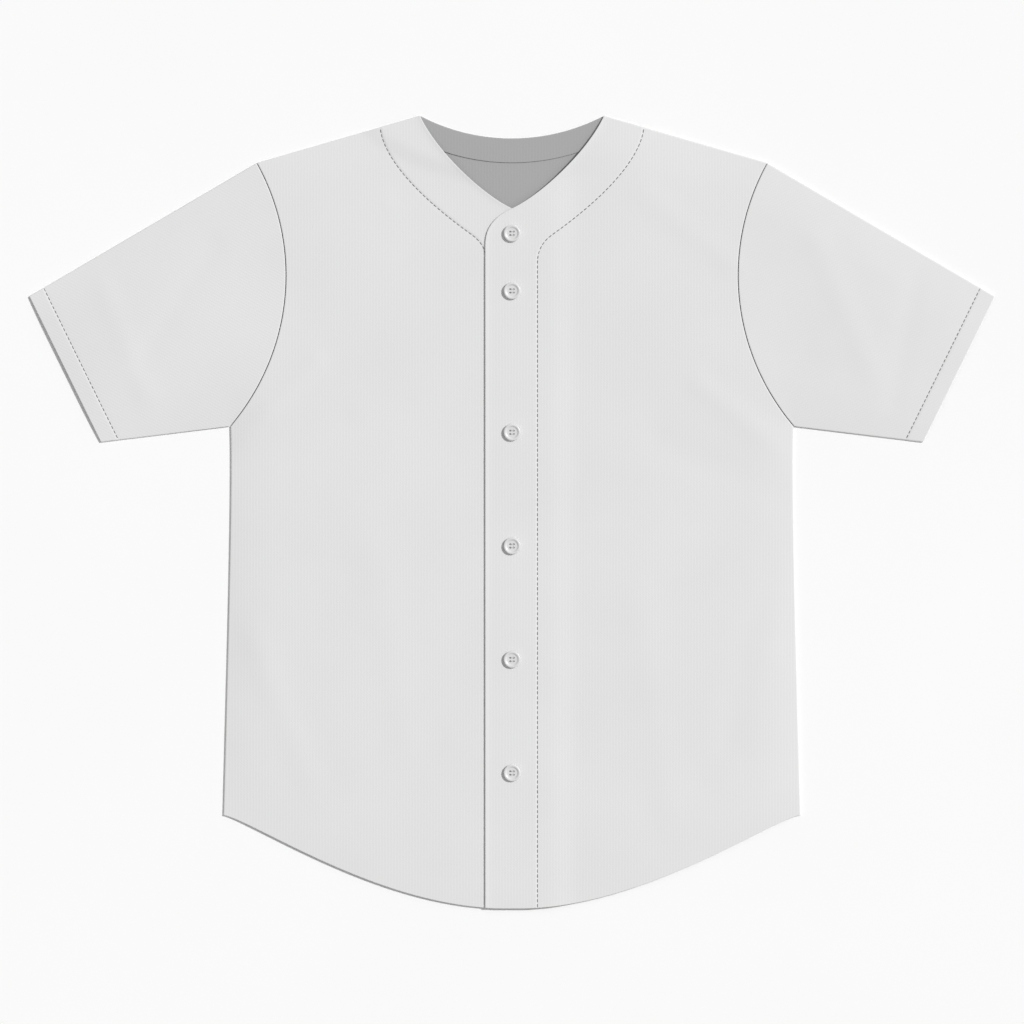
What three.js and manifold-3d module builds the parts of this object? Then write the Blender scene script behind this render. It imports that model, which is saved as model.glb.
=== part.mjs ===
// A short-sleeved baseball jersey with a full buttoned front, laid flat on a surface with its front up.
// Millimetres. +X points to the wearer's left, +Y to the neck and +Z up from the surface, which is at zero.
// The origin is on the surface, under the middle of the jersey's box.
import * as THREE from "three";
import * as BufferGeometryUtils from "three/addons/utils/BufferGeometryUtils.js";
import Module from "manifold-3d";

const wasm = await Module();
wasm.setup();

// Body sizes of an adult large, measured flat
const BODY_LENGTH = 793.2; // high point of the shoulder to the lowest hem
const NECK_WIDTH = 184.2;
const SHOULDER_WIDTH = 510.4;
const SHOULDER_DROP = 47.1;
const CHEST_WIDTH = 563.6; // underarm to underarm
const UNDERARM_DROP = 311.2; // below the high point of the shoulder
const HEM_WIDTH = 577.6; // side corner to side corner
const HEM_CORNER_RISE = 93.2; // the side corners stand this far above the lowest hem

// Sleeve sizes, measured flat
const SLEEVE_LENGTH = 264; // shoulder point to cuff, along the top fold
const SLEEVE_SLOPE_DEG = 30.36; // the top fold falls this much from level
const CUFF_WIDTH = 162.9;
const CUFF_TILT_DEG = 26.16; // the cuff leans this much from upright
const ARMHOLE_BOW = 41.8; // how far the armhole seam bows into the body

// Neck and front lap
const BACK_NECK_DROP = 22.7;
const FRONT_NECK_DROP = 93;
const LAP = 26.84; // each front runs this far past the middle
const LAP_CORNER_DROP = 131.1; // below this the front edge is straight
const FACING_DEPTH = 24.4; // back-neck facing, at the centre back
const FACING_AT_SHOULDER = 31.7; // back-neck facing, along the shoulder seam

// Curved edges: how far each end's handle reaches from that end
const CURVES = {
  side: { startX: -2.1, startY: -65, endX: -4, endY: 153.8 },
  hem: { startX: 127, startY: -3.6, endX: -30, endY: -4.6 },
  neckline: { startX: 30.7, startY: 14.5, endX: -15.4, endY: -34.4 },
  lapCorner: { startX: -0.5, startY: 17.5, endX: -19.3, endY: -8.8 },
};

// Cloth and how it lies
const CLOTH = 1; // wall of one layer
const SEAM_GAP = 0.3; // sewn or stacked layers are this far apart
const LOFT = 1.9; // air under the front, away from the folded edges
const LOFT_RUN = 46; // the front rises to its loft over this distance from a folded edge
const OPEN_EDGE_SHARE = 0.45; // share of the loft that is left at the hem and cuffs
const OPEN_EDGE_RUN = 60;
const FACING_RAMP_START = 8; // the front comes down beside the back-neck facing from here
const FACING_RAMP_END = 26;
const LAP_RAMP_START = 36; // the upper front comes down beside the lower one from here
const LAP_RAMP_END = 66;

// Soft swells of the front and sleeves, centre and radii of each and its height
const SWELLS = [
  { x: -150, y: 215, radiusX: 95, radiusY: 120, height: 0.8 },
  { x: 140, y: 190, radiusX: 105, radiusY: 110, height: 0.9 },
  { x: -175, y: -70, radiusX: 80, radiusY: 190, height: 0.7 },
  { x: 190, y: -120, radiusX: 75, radiusY: 170, height: 0.8 },
  { x: -95, y: -255, radiusX: 90, radiusY: 110, height: 0.6 },
  { x: 90, y: -20, radiusX: 60, radiusY: 120, height: 0.5 },
  { x: -345, y: 205, radiusX: 75, radiusY: 60, height: 0.8 },
  { x: 352, y: 190, radiusX: 80, radiusY: 55, height: 0.8 },
];

// Grid of each front: rows from hem to shoulder, columns from the front edge to the side
const COLUMNS = 18;
const SIDE_ROWS = 21;
const ARMHOLE_ROWS = 15;
const EDGE_ROWS = 25;
const CORNER_ROWS = 4;
const NECKLINE_ROWS = 7;
const BACK_NECK_STEPS = 20;
const EDGE_SAMPLES = 16; // along a curved edge, for distances to it
const HALVINGS = 40; // to find the place on the hem below an x

// Grid of each sleeve: rings from armhole to cuff
const SLEEVE_RINGS = 12;
const FOLD_STEPS = 4; // round each folded edge

// Buttons, down the middle
const BUTTON_DIAMETER = 17;
const BUTTON_THICKNESS = 2.8;
const BUTTON_HEIGHTS = [278.5, 221, 79.6, -33.9, -147.4, -260.8];
const BUTTON_HOLE_RADIUS = 0.9;
const BUTTON_HOLE_SPREAD = 1.7; // from the button's middle, along X and along Y
const BUTTON_SIDES = 28;
const HOLE_SIDES = 8;
const DRILL_LENGTH = 8.4; // runs right through a button on both sides

// Half section of a button: shares of its radius and of its thickness
const BUTTON_PROFILE = [
  { radius: 0, height: 0 },
  { radius: 0.84, height: 0 },
  { radius: 1, height: 0.3 },
  { radius: 1, height: 0.72 },
  { radius: 0.93, height: 1 },
  { radius: 0.78, height: 1 },
  { radius: 0.62, height: 0.66 },
  { radius: 0, height: 0.66 },
];

// Colours, roughness
const CLOTH_COLOUR = 0xe2e2e2;
const INSIDE_COLOUR = 0xa9a9a9;
const BUTTON_COLOUR = 0xdcdcdc;
const CLOTH_ROUGHNESS = 0.85;
const BUTTON_ROUGHNESS = 0.35;

const point = (x, y) => new THREE.Vector2(x, y);

const direction = (degrees) =>
  point(Math.cos(THREE.MathUtils.degToRad(degrees)), Math.sin(THREE.MathUtils.degToRad(degrees)));

// Corner points of the wearer's left half
const TOP = BODY_LENGTH / 2;
const neckPoint = point(NECK_WIDTH / 2, TOP);
const shoulderPoint = point(SHOULDER_WIDTH / 2, TOP - SHOULDER_DROP);
const underarm = point(CHEST_WIDTH / 2, TOP - UNDERARM_DROP);
const hemCorner = point(HEM_WIDTH / 2, HEM_CORNER_RISE - TOP);
const hemCentre = point(0, -TOP);
const frontNeck = point(0, TOP - FRONT_NECK_DROP);
const lapCornerFoot = point(-LAP, TOP - LAP_CORNER_DROP);
const cuffTop = shoulderPoint.clone().addScaledVector(direction(-SLEEVE_SLOPE_DEG), SLEEVE_LENGTH);
const cuffBottom = cuffTop.clone().addScaledVector(direction(-90 - CUFF_TILT_DEG), CUFF_WIDTH);

function handled(start, end, handles) {
  const first = point(start.x + handles.startX, start.y + handles.startY);
  const second = point(end.x + handles.endX, end.y + handles.endY);
  return new THREE.CubicBezierCurve(start, first, second, end);
}

// An arc whose middle lies bow to the left of its chord
function bowedArc(start, end, bow) {
  const chord = end.clone().sub(start);
  const half = chord.length() / 2;
  const radius = (half * half + bow * bow) / (2 * Math.abs(bow));
  const left = point(-chord.y, chord.x).normalize();
  const centre = start.clone().lerp(end, 0.5).addScaledVector(left, bow - Math.sign(bow) * radius);
  const from = Math.atan2(start.y - centre.y, start.x - centre.x);
  const to = Math.atan2(end.y - centre.y, end.x - centre.x);
  return new THREE.EllipseCurve(centre.x, centre.y, radius, radius, from, to, bow > 0);
}

// Edges of the wearer's left half
const sideSeam = handled(underarm, hemCorner, CURVES.side);
const hem = handled(hemCentre, hemCorner, CURVES.hem);
const armhole = bowedArc(underarm, shoulderPoint, ARMHOLE_BOW);
const neckline = handled(frontNeck, neckPoint, CURVES.neckline);
const lapCorner = handled(lapCornerFoot, frontNeck, CURVES.lapCorner);

const mirrored = (p) => point(-p.x, p.y);

// Height of the hem below any x
function hemAt(x) {
  let low = 0;
  let high = 1;
  for (let halving = 0; halving < HALVINGS; halving += 1) {
    const middle = (low + high) / 2;
    if (hem.getPoint(middle).x < Math.abs(x)) low = middle;
    else high = middle;
  }
  return hem.getPoint(low).y;
}

function distanceToLine(points, p) {
  let nearest = Infinity;
  for (let i = 1; i < points.length; i += 1) {
    const along = points[i].clone().sub(points[i - 1]);
    const share = THREE.MathUtils.clamp(p.clone().sub(points[i - 1]).dot(along) / along.lengthSq(), 0, 1);
    const foot = points[i - 1].clone().addScaledVector(along, share);
    nearest = Math.min(nearest, foot.distanceTo(p));
  }
  return nearest;
}

// The folded or seamed outer edges hold front and back together; the hem and cuffs stay open.
const shoulderAndSleeveTop = [neckPoint, shoulderPoint, cuffTop];
const sleeveBottomAndSide = [cuffBottom, underarm, ...sideSeam.getSpacedPoints(EDGE_SAMPLES).slice(1)];
const cuffEdge = [cuffTop, cuffBottom];
const hemEdge = hem.getSpacedPoints(EDGE_SAMPLES);

// From 0 at an edge to 1 at the run's end, steep first
function roundedRise(distance, run) {
  const left = 1 - Math.min(distance / run, 1);
  return 1 - left * left;
}

// The facing lies inside this circle
const facingEnd = neckPoint
  .clone()
  .lerp(shoulderPoint, FACING_AT_SHOULDER / neckPoint.distanceTo(shoulderPoint));
const facingBow = facingEnd.y - (TOP - BACK_NECK_DROP - FACING_DEPTH);
const facingEdge = bowedArc(mirrored(facingEnd), facingEnd, -facingBow);

// Extra height where the front lies over the back-neck facing
function liftOverFacing(x, y) {
  const distance = Math.hypot(x - facingEdge.aX, y - facingEdge.aY) - facingEdge.xRadius;
  const down = THREE.MathUtils.smoothstep(distance, FACING_RAMP_START, FACING_RAMP_END);
  return (CLOTH + SEAM_GAP) * (1 - down);
}

function swellAt(x, y) {
  return SWELLS.reduce((total, swell) => {
    const reach = ((x - swell.x) / swell.radiusX) ** 2 + ((y - swell.y) / swell.radiusY) ** 2;
    return total + swell.height * Math.exp(-reach);
  }, 0);
}

// Underside of the upper layer: a seam gap above the back at the folded edges, lofted inside them
function layerHeight(x, y) {
  const p = point(Math.abs(x), y);
  const folded = Math.min(distanceToLine(shoulderAndSleeveTop, p), distanceToLine(sleeveBottomAndSide, p));
  const open = Math.min(distanceToLine(cuffEdge, p), distanceToLine(hemEdge, p));
  const openShare = THREE.MathUtils.lerp(OPEN_EDGE_SHARE, 1, roundedRise(open, OPEN_EDGE_RUN));
  const loft = (LOFT + swellAt(x, y)) * roundedRise(folded, LOFT_RUN) * openShare;
  return CLOTH + SEAM_GAP + liftOverFacing(x, y) + loft;
}

// The wearer's left front lies on the right one
function liftOverLap(x) {
  const down = THREE.MathUtils.smoothstep(x, LAP_RAMP_START, LAP_RAMP_END);
  return (CLOTH + SEAM_GAP) * (1 - down);
}

// A closed body from a list of corners and triangles, with its faces outwards
function closedBody(corners, triangles) {
  const product = new THREE.Vector3();
  const volume = triangles.reduce(
    (total, [i, j, k]) => total + product.crossVectors(corners[i], corners[j]).dot(corners[k]),
    0,
  );
  const outwards = volume > 0 ? triangles : triangles.map(([i, j, k]) => [i, k, j]);
  const geometry = new THREE.BufferGeometry().setFromPoints(corners);
  geometry.setIndex(outwards.flat());
  geometry.computeVertexNormals();
  return geometry;
}

const twoTriangles = (a, b, c, d) => [
  [a, b, c],
  [a, c, d],
];

// A wall over a grid of places: its underside heights and its own thickness, closed all round
function gridWall(grid, underside) {
  const rows = grid.length;
  const columns = grid[0].length;
  const corners = [0, CLOTH].flatMap((thickness) =>
    grid.flat().map((p) => new THREE.Vector3(p.x, p.y, underside(p.x, p.y) + thickness)),
  );
  const low = (row, column) => row * columns + column;
  const high = (row, column) => rows * columns + low(row, column);
  const triangles = [];
  for (let row = 0; row + 1 < rows; row += 1) {
    for (let column = 0; column + 1 < columns; column += 1) {
      const square = [
        [row, column],
        [row, column + 1],
        [row + 1, column + 1],
        [row + 1, column],
      ];
      triangles.push(...twoTriangles(...square.map(([r, c]) => high(r, c))));
      triangles.push(...twoTriangles(...square.map(([r, c]) => low(r, c)).reverse()));
    }
  }
  const rim = [];
  for (let column = 0; column + 1 < columns; column += 1) rim.push([0, column]);
  for (let row = 0; row + 1 < rows; row += 1) rim.push([row, columns - 1]);
  for (let column = columns - 1; column > 0; column -= 1) rim.push([rows - 1, column]);
  for (let row = rows - 1; row > 0; row -= 1) rim.push([row, 0]);
  rim.forEach(([row, column], i) => {
    const [nextRow, nextColumn] = rim[(i + 1) % rim.length];
    triangles.push(
      ...twoTriangles(
        low(row, column),
        low(nextRow, nextColumn),
        high(nextRow, nextColumn),
        high(row, column),
      ),
    );
  });
  return closedBody(corners, triangles);
}

// Places of one front, worked out between its four edges. Side 1 is the wearer's left, -1 the right.
function frontGrid(side) {
  const inner = [
    ...new THREE.LineCurve(point(-LAP, hemAt(LAP)), lapCornerFoot).getSpacedPoints(EDGE_ROWS),
    ...lapCorner.getSpacedPoints(CORNER_ROWS).slice(1),
    ...neckline.getSpacedPoints(NECKLINE_ROWS).slice(1),
  ];
  const outer = [
    ...sideSeam.getSpacedPoints(SIDE_ROWS).reverse(),
    ...armhole.getSpacedPoints(ARMHOLE_ROWS).slice(1),
  ];
  const rows = inner.length - 1;
  return inner.map((innerPoint, row) => {
    const up = row / rows;
    return Array.from({ length: COLUMNS + 1 }, (_, column) => {
      const across = column / COLUMNS;
      const x = THREE.MathUtils.lerp(-LAP, hemCorner.x, across);
      const bottom = point(x, hemAt(x));
      const top = neckPoint.clone().lerp(shoulderPoint, across);
      const straight = inner[0].clone().lerp(outer[0], across).lerp(top, up);
      const place = innerPoint.clone().lerp(outer[row], across).add(bottom.lerp(top, up)).sub(straight);
      return point(side * place.x, place.y);
    });
  });
}

function outlineOfBack() {
  const edge = [
    ...bowedArc(mirrored(neckPoint), neckPoint, -BACK_NECK_DROP).getSpacedPoints(BACK_NECK_STEPS),
    ...armhole.getSpacedPoints(ARMHOLE_ROWS).reverse(),
    ...sideSeam.getSpacedPoints(SIDE_ROWS).slice(1),
    ...hem.getSpacedPoints(COLUMNS).reverse().slice(1),
  ];
  const otherHalf = edge.slice(BACK_NECK_STEPS + 1, -1).reverse().map(mirrored);
  return new THREE.Shape([...edge, ...otherHalf]);
}

function backGeometry() {
  return new THREE.ExtrudeGeometry(outlineOfBack(), { depth: CLOTH, bevelEnabled: false });
}

// Lies on the back's inner side, between the neckline and the facing's own lower edge
function facingGeometry() {
  const outline = new THREE.Shape([
    ...bowedArc(mirrored(neckPoint), neckPoint, -BACK_NECK_DROP).getSpacedPoints(BACK_NECK_STEPS),
    ...facingEdge.getSpacedPoints(BACK_NECK_STEPS).reverse(),
  ]);
  const geometry = new THREE.ExtrudeGeometry(outline, { depth: CLOTH, bevelEnabled: false });
  return geometry.translate(0, 0, CLOTH + SEAM_GAP);
}

// One ring of a sleeve round the flattened tube, from its places between the two folded edges
function sleeveRing(places, side) {
  const outerRadius = CLOTH + SEAM_GAP / 2;
  const innerRadius = SEAM_GAP / 2;
  const last = places.length - 1;
  const outer = [];
  const inner = [];
  const put = (line, place, height) => line.push(new THREE.Vector3(side * place.x, place.y, height));
  const foldedEdge = (edge, next, turn) => {
    const way = next.clone().sub(edge).normalize();
    for (let step = 0; step <= FOLD_STEPS; step += 1) {
      const angle = turn * Math.PI * (step / FOLD_STEPS - 0.5);
      for (const [line, radius] of [[outer, outerRadius], [inner, innerRadius]]) {
        const place = edge.clone().addScaledVector(way, outerRadius - radius * Math.cos(angle));
        put(line, place, outerRadius + radius * Math.sin(angle));
      }
    }
  };
  foldedEdge(places[0], places[1], 1);
  places.slice(1, -1).forEach((place) => {
    const height = layerHeight(side * place.x, place.y);
    put(outer, place, height + CLOTH);
    put(inner, place, height);
  });
  foldedEdge(places[last], places[last - 1], -1);
  places.slice(1, -1).reverse().forEach((place) => {
    put(outer, place, 0);
    put(inner, place, CLOTH);
  });
  return [outer, inner];
}

// A flattened tube, open at the armhole and at the cuff
function sleeveGeometry(side) {
  const centre = point(armhole.aX, armhole.aY);
  const armholePlaces = armhole
    .getSpacedPoints(ARMHOLE_ROWS)
    .reverse()
    .map((p) => p.clone().addScaledVector(centre.clone().sub(p).normalize(), SEAM_GAP));
  const cuffPlaces = new THREE.LineCurve(cuffTop, cuffBottom).getSpacedPoints(ARMHOLE_ROWS);
  const rings = Array.from({ length: SLEEVE_RINGS + 1 }, (_, ring) =>
    sleeveRing(
      armholePlaces.map((p, i) => p.clone().lerp(cuffPlaces[i], ring / SLEEVE_RINGS)),
      side,
    ),
  );
  const around = rings[0][0].length;
  const corners = rings.flatMap(([outer, inner]) => [...outer, ...inner]);
  const outerAt = (ring, i) => ring * 2 * around + (i % around);
  const innerAt = (ring, i) => outerAt(ring, i) + around;
  const triangles = [];
  for (let i = 0; i < around; i += 1) {
    for (let ring = 0; ring < SLEEVE_RINGS; ring += 1) {
      const next = ring + 1;
      triangles.push(
        ...twoTriangles(outerAt(ring, i), outerAt(next, i), outerAt(next, i + 1), outerAt(ring, i + 1)),
        ...twoTriangles(innerAt(ring, i), innerAt(ring, i + 1), innerAt(next, i + 1), innerAt(next, i)),
      );
    }
    triangles.push(
      ...twoTriangles(outerAt(0, i), outerAt(0, i + 1), innerAt(0, i + 1), innerAt(0, i)),
      ...twoTriangles(
        outerAt(SLEEVE_RINGS, i),
        innerAt(SLEEVE_RINGS, i),
        innerAt(SLEEVE_RINGS, i + 1),
        outerAt(SLEEVE_RINGS, i + 1),
      ),
    );
  }
  return closedBody(corners, triangles);
}

function asManifold(geometry) {
  geometry.deleteAttribute("normal");
  geometry.deleteAttribute("uv");
  const merged = BufferGeometryUtils.mergeVertices(geometry);
  const index = Array.from(merged.index.array);
  const whole = [];
  for (let i = 0; i < index.length; i += 3) {
    const [a, b, c] = index.slice(i, i + 3);
    if (a !== b && b !== c && c !== a) whole.push(a, b, c);
  }
  return new wasm.Manifold(
    new wasm.Mesh({
      numProp: 3,
      vertProperties: merged.attributes.position.array,
      triVerts: new Uint32Array(whole),
    }),
  );
}

// A round button with a raised rim, a dished middle and four sewing holes
function buttonGeometry() {
  const profile = BUTTON_PROFILE.map((share) =>
    point((share.radius * BUTTON_DIAMETER) / 2, share.height * BUTTON_THICKNESS),
  );
  let button = asManifold(new THREE.LatheGeometry(profile, BUTTON_SIDES).rotateX(Math.PI / 2));
  for (const x of [-BUTTON_HOLE_SPREAD, BUTTON_HOLE_SPREAD]) {
    for (const y of [-BUTTON_HOLE_SPREAD, BUTTON_HOLE_SPREAD]) {
      const drill = new THREE.CylinderGeometry(
        BUTTON_HOLE_RADIUS,
        BUTTON_HOLE_RADIUS,
        DRILL_LENGTH,
        HOLE_SIDES,
      ).rotateX(Math.PI / 2);
      button = button.subtract(asManifold(drill.translate(x, y, 0)));
    }
  }
  const mesh = button.getMesh();
  const geometry = new THREE.BufferGeometry();
  geometry.setAttribute("position", new THREE.BufferAttribute(mesh.vertProperties, 3));
  geometry.setIndex(new THREE.BufferAttribute(mesh.triVerts, 1));
  geometry.computeVertexNormals();
  return geometry;
}

const upperFrontHeight = (x, y) => layerHeight(x, y) + liftOverLap(x);

// A button lies just clear of the highest cloth under it.
function buttonSeat(y) {
  const radius = BUTTON_DIAMETER / 2;
  const steps = [-radius, 0, radius];
  const heights = steps.flatMap((dx) => steps.map((dy) => upperFrontHeight(dx, y + dy)));
  return Math.max(...heights) + CLOTH + SEAM_GAP;
}

const cloth = (colour) =>
  new THREE.MeshStandardMaterial({ color: colour, roughness: CLOTH_ROUGHNESS, metalness: 0 });

const moulded = () =>
  new THREE.MeshStandardMaterial({ color: BUTTON_COLOUR, roughness: BUTTON_ROUGHNESS, metalness: 0 });

const jersey = new THREE.Group();

function add(name, geometry, material) {
  const mesh = new THREE.Mesh(geometry, material);
  mesh.name = name;
  jersey.add(mesh);
  return mesh;
}

add("back", backGeometry(), cloth(INSIDE_COLOUR));
add("back_neck_facing", facingGeometry(), cloth(INSIDE_COLOUR));
add("front_right", gridWall(frontGrid(-1), layerHeight), cloth(CLOTH_COLOUR));
add("front_left", gridWall(frontGrid(1), upperFrontHeight), cloth(CLOTH_COLOUR));
add("sleeve_right", sleeveGeometry(-1), cloth(CLOTH_COLOUR));
add("sleeve_left", sleeveGeometry(1), cloth(CLOTH_COLOUR));
BUTTON_HEIGHTS.forEach((y, i) => {
  add(`button_${i + 1}`, buttonGeometry(), moulded()).position.set(0, y, buttonSeat(y));
});

export default jersey;
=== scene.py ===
"""A short-sleeved baseball jersey laid flat, front up, seen from straight above.

Shapes are worked out in millimetres in the jersey's own frame: +X to the wearer's left, +Y to the neck and
+Z up from the surface that it lies on. Finished pieces are in metres, in the same frame.
"""

import math

import bmesh
import bpy
import numpy as np
from mathutils import Matrix, Vector


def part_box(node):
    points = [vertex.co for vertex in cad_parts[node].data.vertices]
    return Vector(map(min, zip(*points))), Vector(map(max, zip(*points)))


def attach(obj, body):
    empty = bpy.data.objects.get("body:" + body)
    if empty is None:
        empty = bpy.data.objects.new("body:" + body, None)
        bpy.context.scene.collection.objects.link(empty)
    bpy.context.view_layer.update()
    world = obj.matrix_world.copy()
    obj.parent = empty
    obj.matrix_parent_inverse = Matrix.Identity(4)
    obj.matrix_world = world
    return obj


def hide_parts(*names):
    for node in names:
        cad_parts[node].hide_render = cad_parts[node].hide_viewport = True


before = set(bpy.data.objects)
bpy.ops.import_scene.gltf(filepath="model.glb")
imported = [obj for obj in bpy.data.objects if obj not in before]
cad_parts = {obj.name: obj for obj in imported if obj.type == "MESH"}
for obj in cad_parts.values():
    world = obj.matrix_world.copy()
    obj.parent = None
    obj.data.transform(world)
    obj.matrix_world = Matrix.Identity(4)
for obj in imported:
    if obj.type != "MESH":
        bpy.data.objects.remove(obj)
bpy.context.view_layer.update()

MM = 0.001

# Body and sleeve sizes, measured flat
BODY_LENGTH = 793.2
NECK_WIDTH = 184.2
SHOULDER_WIDTH = 510.4
SHOULDER_DROP = 47.1
CHEST_WIDTH = 563.6
UNDERARM_DROP = 311.2
HEM_WIDTH = 577.6
HEM_CORNER_RISE = 93.2
SLEEVE_LENGTH = 264
SLEEVE_SLOPE_DEG = 30.36
CUFF_WIDTH = 162.9
CUFF_TILT_DEG = 26.16
ARMHOLE_BOW = 41.8

# Neck, front lap and facings
BACK_NECK_DROP = 22.7
FRONT_NECK_DROP = 93
LAP = 26.84
LAP_CORNER_DROP = 131.1
BACK_FACING_DEPTH = 24.4
BACK_FACING_AT_SHOULDER = 31.7
STITCH_X = 25.4  # the front facing's topstitch, down the straight of the front
STITCH_CORNER_DROP = 146.1
STITCH_CORNER_END = (40.5, 119.1)  # x, and drop below the high point of the shoulder
STITCH_AT_SHOULDER = 41.5
CUFF_STITCH = 16.6

# Curved edges: how far the handle reaches from the first end, and from the last end
SIDE_HANDLES = ((-2.1, -65), (-4, 153.8))
HEM_HANDLES = ((127, -3.6), (-30, -4.6))
NECKLINE_HANDLES = ((30.7, 14.5), (-15.4, -34.4))
LAP_CORNER_HANDLES = ((-0.5, 17.5), (-19.3, -8.8))
STITCH_CORNER_HANDLES = ((0.7, 11.7), (-10.4, -7.5))
STITCH_NECK_HANDLES = ((37.8, 26.9), (-4, -38.2))

# How the cloth lies
CLOTH = 1.0
SEAM_GAP = 0.3
LOFT = 1.9
LOFT_RUN = 46
OPEN_EDGE_SHARE = 0.45
OPEN_EDGE_RUN = 60
FACING_RAMP = (8, 26)
LAP_RAMP = (36, 66)
FACING_HEIGHT = 1.8

# Soft swells: centre x and y, radii along X and Y, height
SWELLS = (
    (-150, 215, 95, 120, 0.8),
    (140, 190, 105, 110, 0.9),
    (-175, -70, 80, 190, 0.7),
    (190, -120, 75, 170, 0.8),
    (-95, -255, 90, 110, 0.6),
    (90, -20, 60, 120, 0.5),
    (-345, 205, 75, 60, 0.8),
    (352, 190, 80, 55, 0.8),
)

# Soft creases: start x and y, end x and y, half width, height
CREASES = (
    (-276, 70, -196, 150, 11, 0.55),
    (-270, 40, -170, 92, 14, -0.45),
    (270, 62, 188, 128, 12, 0.5),
    (272, 20, 150, 66, 16, -0.4),
    (-222, 262, -128, 306, 16, 0.4),
    (218, 250, 134, 318, 14, 0.45),
    (-262, -120, -205, -262, 15, 0.45),
    (255, -60, 214, -230, 17, -0.4),
    (-140, -40, -104, -232, 20, 0.35),
    (128, -96, 160, -300, 19, 0.4),
    (-300, 262, -372, 150, 13, -0.45),
    (-412, 232, -366, 118, 12, 0.4),
    (304, 270, 360, 142, 14, 0.45),
    (404, 236, 382, 112, 12, -0.4),
)

# Shells and their edges. A roll is how far in from an edge the cloth starts to turn, and how deep it turns.
SHELL = 0.8
FOLD_RADIUS = 1.15
BACK_SEAM_ROLL = (1.15, 1.0)
SEAM_ROLL = (1.1, 0.6)
EDGE_ROLL = (0.5, 0.35)
NECK_ROLL = (1.1, 0.6)
UNDER_ROLL = (1.2, 0.4)
EDGE_BEAD = (3, 0.35)  # width and rise of the thicker line beside a turned front edge
ARMHOLE_DITCH = 0.7  # between the front's edge and the sleeve's, where the seam pulls them down
STITCH_TROUGH = (1.1, 0.3)  # half width and depth of the trough that a topstitch pulls
FACING_STEP = 0.25  # the cloth is this much lower past a line of topstitch
FACING_STEP_RUN = 1.8
PUCKER = 0.1
PUCKER_PITCH = 9.5
PUCKER_DRIFT = (1.3, 0.37)  # how far gathers wander along a seam, in radians, and how often for each gather
PUCKER_FADE = (0.3, 0.23)  # by what share they grow and shrink along it, and how often for each gather
STITCH_PUCKER_REACH = 5
SEAM_PUCKER_REACH = 7
FACING_END_PRESS = (0.3, 6)  # the shoulder seam presses the back facing's ends this much, over this far

# Grid spacings, close together near edges and lines of stitching
FINE = (0, 0.12, 0.35, 0.7, 1.1, 1.6, 2.3, 3.3, 5)
SPACING = 4.5
BACK_SPACING = 9
SLEEVE_SPACING = 3.2
FACING_SPACING = 2.5
FACING_END_SHARE = 0.008  # the back facing stops this share of its length short of each end
UNDERARM_SHARE = 0.58  # of a body grid's rows, from the hem
NECK_SHARE = 0.32  # of the back's top edge, on each side of the neckline
LINE_POINTS = 65
WELD = 0.005

# Topstitch
STITCH_LENGTH = 3.7
STITCH_PITCH = 4.95
STITCH_WIDTH = 1.15
STITCH_HEIGHT = 0.5
STITCH_SUNK = 0.05
STITCH_FULLNESS = 0.5  # below 1, a stitch keeps its width nearer to its ends
STITCH_SIDES = 6

# Buttons. The half section goes from the middle of the underside to the middle of the dish: radius, height.
BUTTON_SECTION = (
    (0, 0),
    (6.9, 0),
    (8.5, 0.9),
    (8.5, 2.1),
    (7.9, 2.8),
    (6.6, 2.8),
    (5.3, 1.85),
    (0, 1.85),
)
BUTTON_STEPS = 56
BUTTON_BEVEL = 0.45
BUTTON_HOLE_RADIUS = 0.9
BUTTON_HOLE_SPREAD = 1.7
BUTTON_HOLE_SIDES = 20
BUTTON_DRILL_LENGTH = 8
THREAD_RADIUS = 0.19
THREAD_STRANDS = (-0.34, 0, 0.34)
THREAD_ARCH_RADIUS = 2.1
THREAD_ARCH_DEG = 118
THREAD_TOP = 2.05  # middle of a strand above the button's underside
THREAD_STEPS = 8
THREAD_SIDES = 6
BUTTON_SHARP_DEG = 50  # edges that turn by more than this stay sharp

# Knit, drawn coarser than the real one. Sizes are in millimetres, and tones are shares of the cloth's colour.
WALE = 3.0
COURSE = 2.6
LEG_RISE = 1.7  # a stitch's legs rise by this many courses over a wale
LEG_SHARE = 0.6  # how strongly its legs show beside its wale
# Tones that follow the knit's relief: painted shade in its grooves and painted light on its raised loops
KNIT_SHADE_TONES = (0.985, 1.012)
KNIT_RELIEF = 0.016
KNIT_WOBBLE = 0.9
WOBBLE_SIZE = 16.7
MOTTLE_SIZE = 111
MOTTLE_SPAN = (0.3, 0.7)  # the part of the noise that is spread over the tones
MOTTLE_TONES = (0.985, 1.015)
FUZZ_SIZE = 1.11
FUZZ_RELIEF = 0.06
FUZZ_ROUGHNESS = (0.78, 0.92)
SLEEVE_TURN_DEG = 58

# Thread, button stock and board: sizes in millimetres, and tones as shares of the colour
PLY_SIZE = 0.667
PLY_RELIEF = 0.1
# Ply tones follow the ply relief: painted shade in its hollows and painted light on its raised plies
PLY_SHADE_TONES = (0.85, 1.2)
CLOUD_SIZE = 5.56
CLOUD_TONE = 0.9
SCUFF_SIZE = 0.417
SCUFF_RELIEF = 0.02
SATIN_ROUGHNESS = (0.26, 0.42)
BOARD_PATCH = 333

# Colours
OUTSIDE_COLOUR = "#e2e2e2"
# The inside colour is darker than the outside: painted shade for the inside of the jersey, seen through the
# neck opening
INSIDE_PAINTED_SHADE_COLOUR = "#a9a9a9"
THREAD_COLOUR = "#747474"
BUTTON_THREAD_COLOUR = "#c4c4c4"
BUTTON_COLOUR = "#e0e0e0"
BOARD_COLOURS = ("#f9f9f9", "#fcfcfc")

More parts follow.
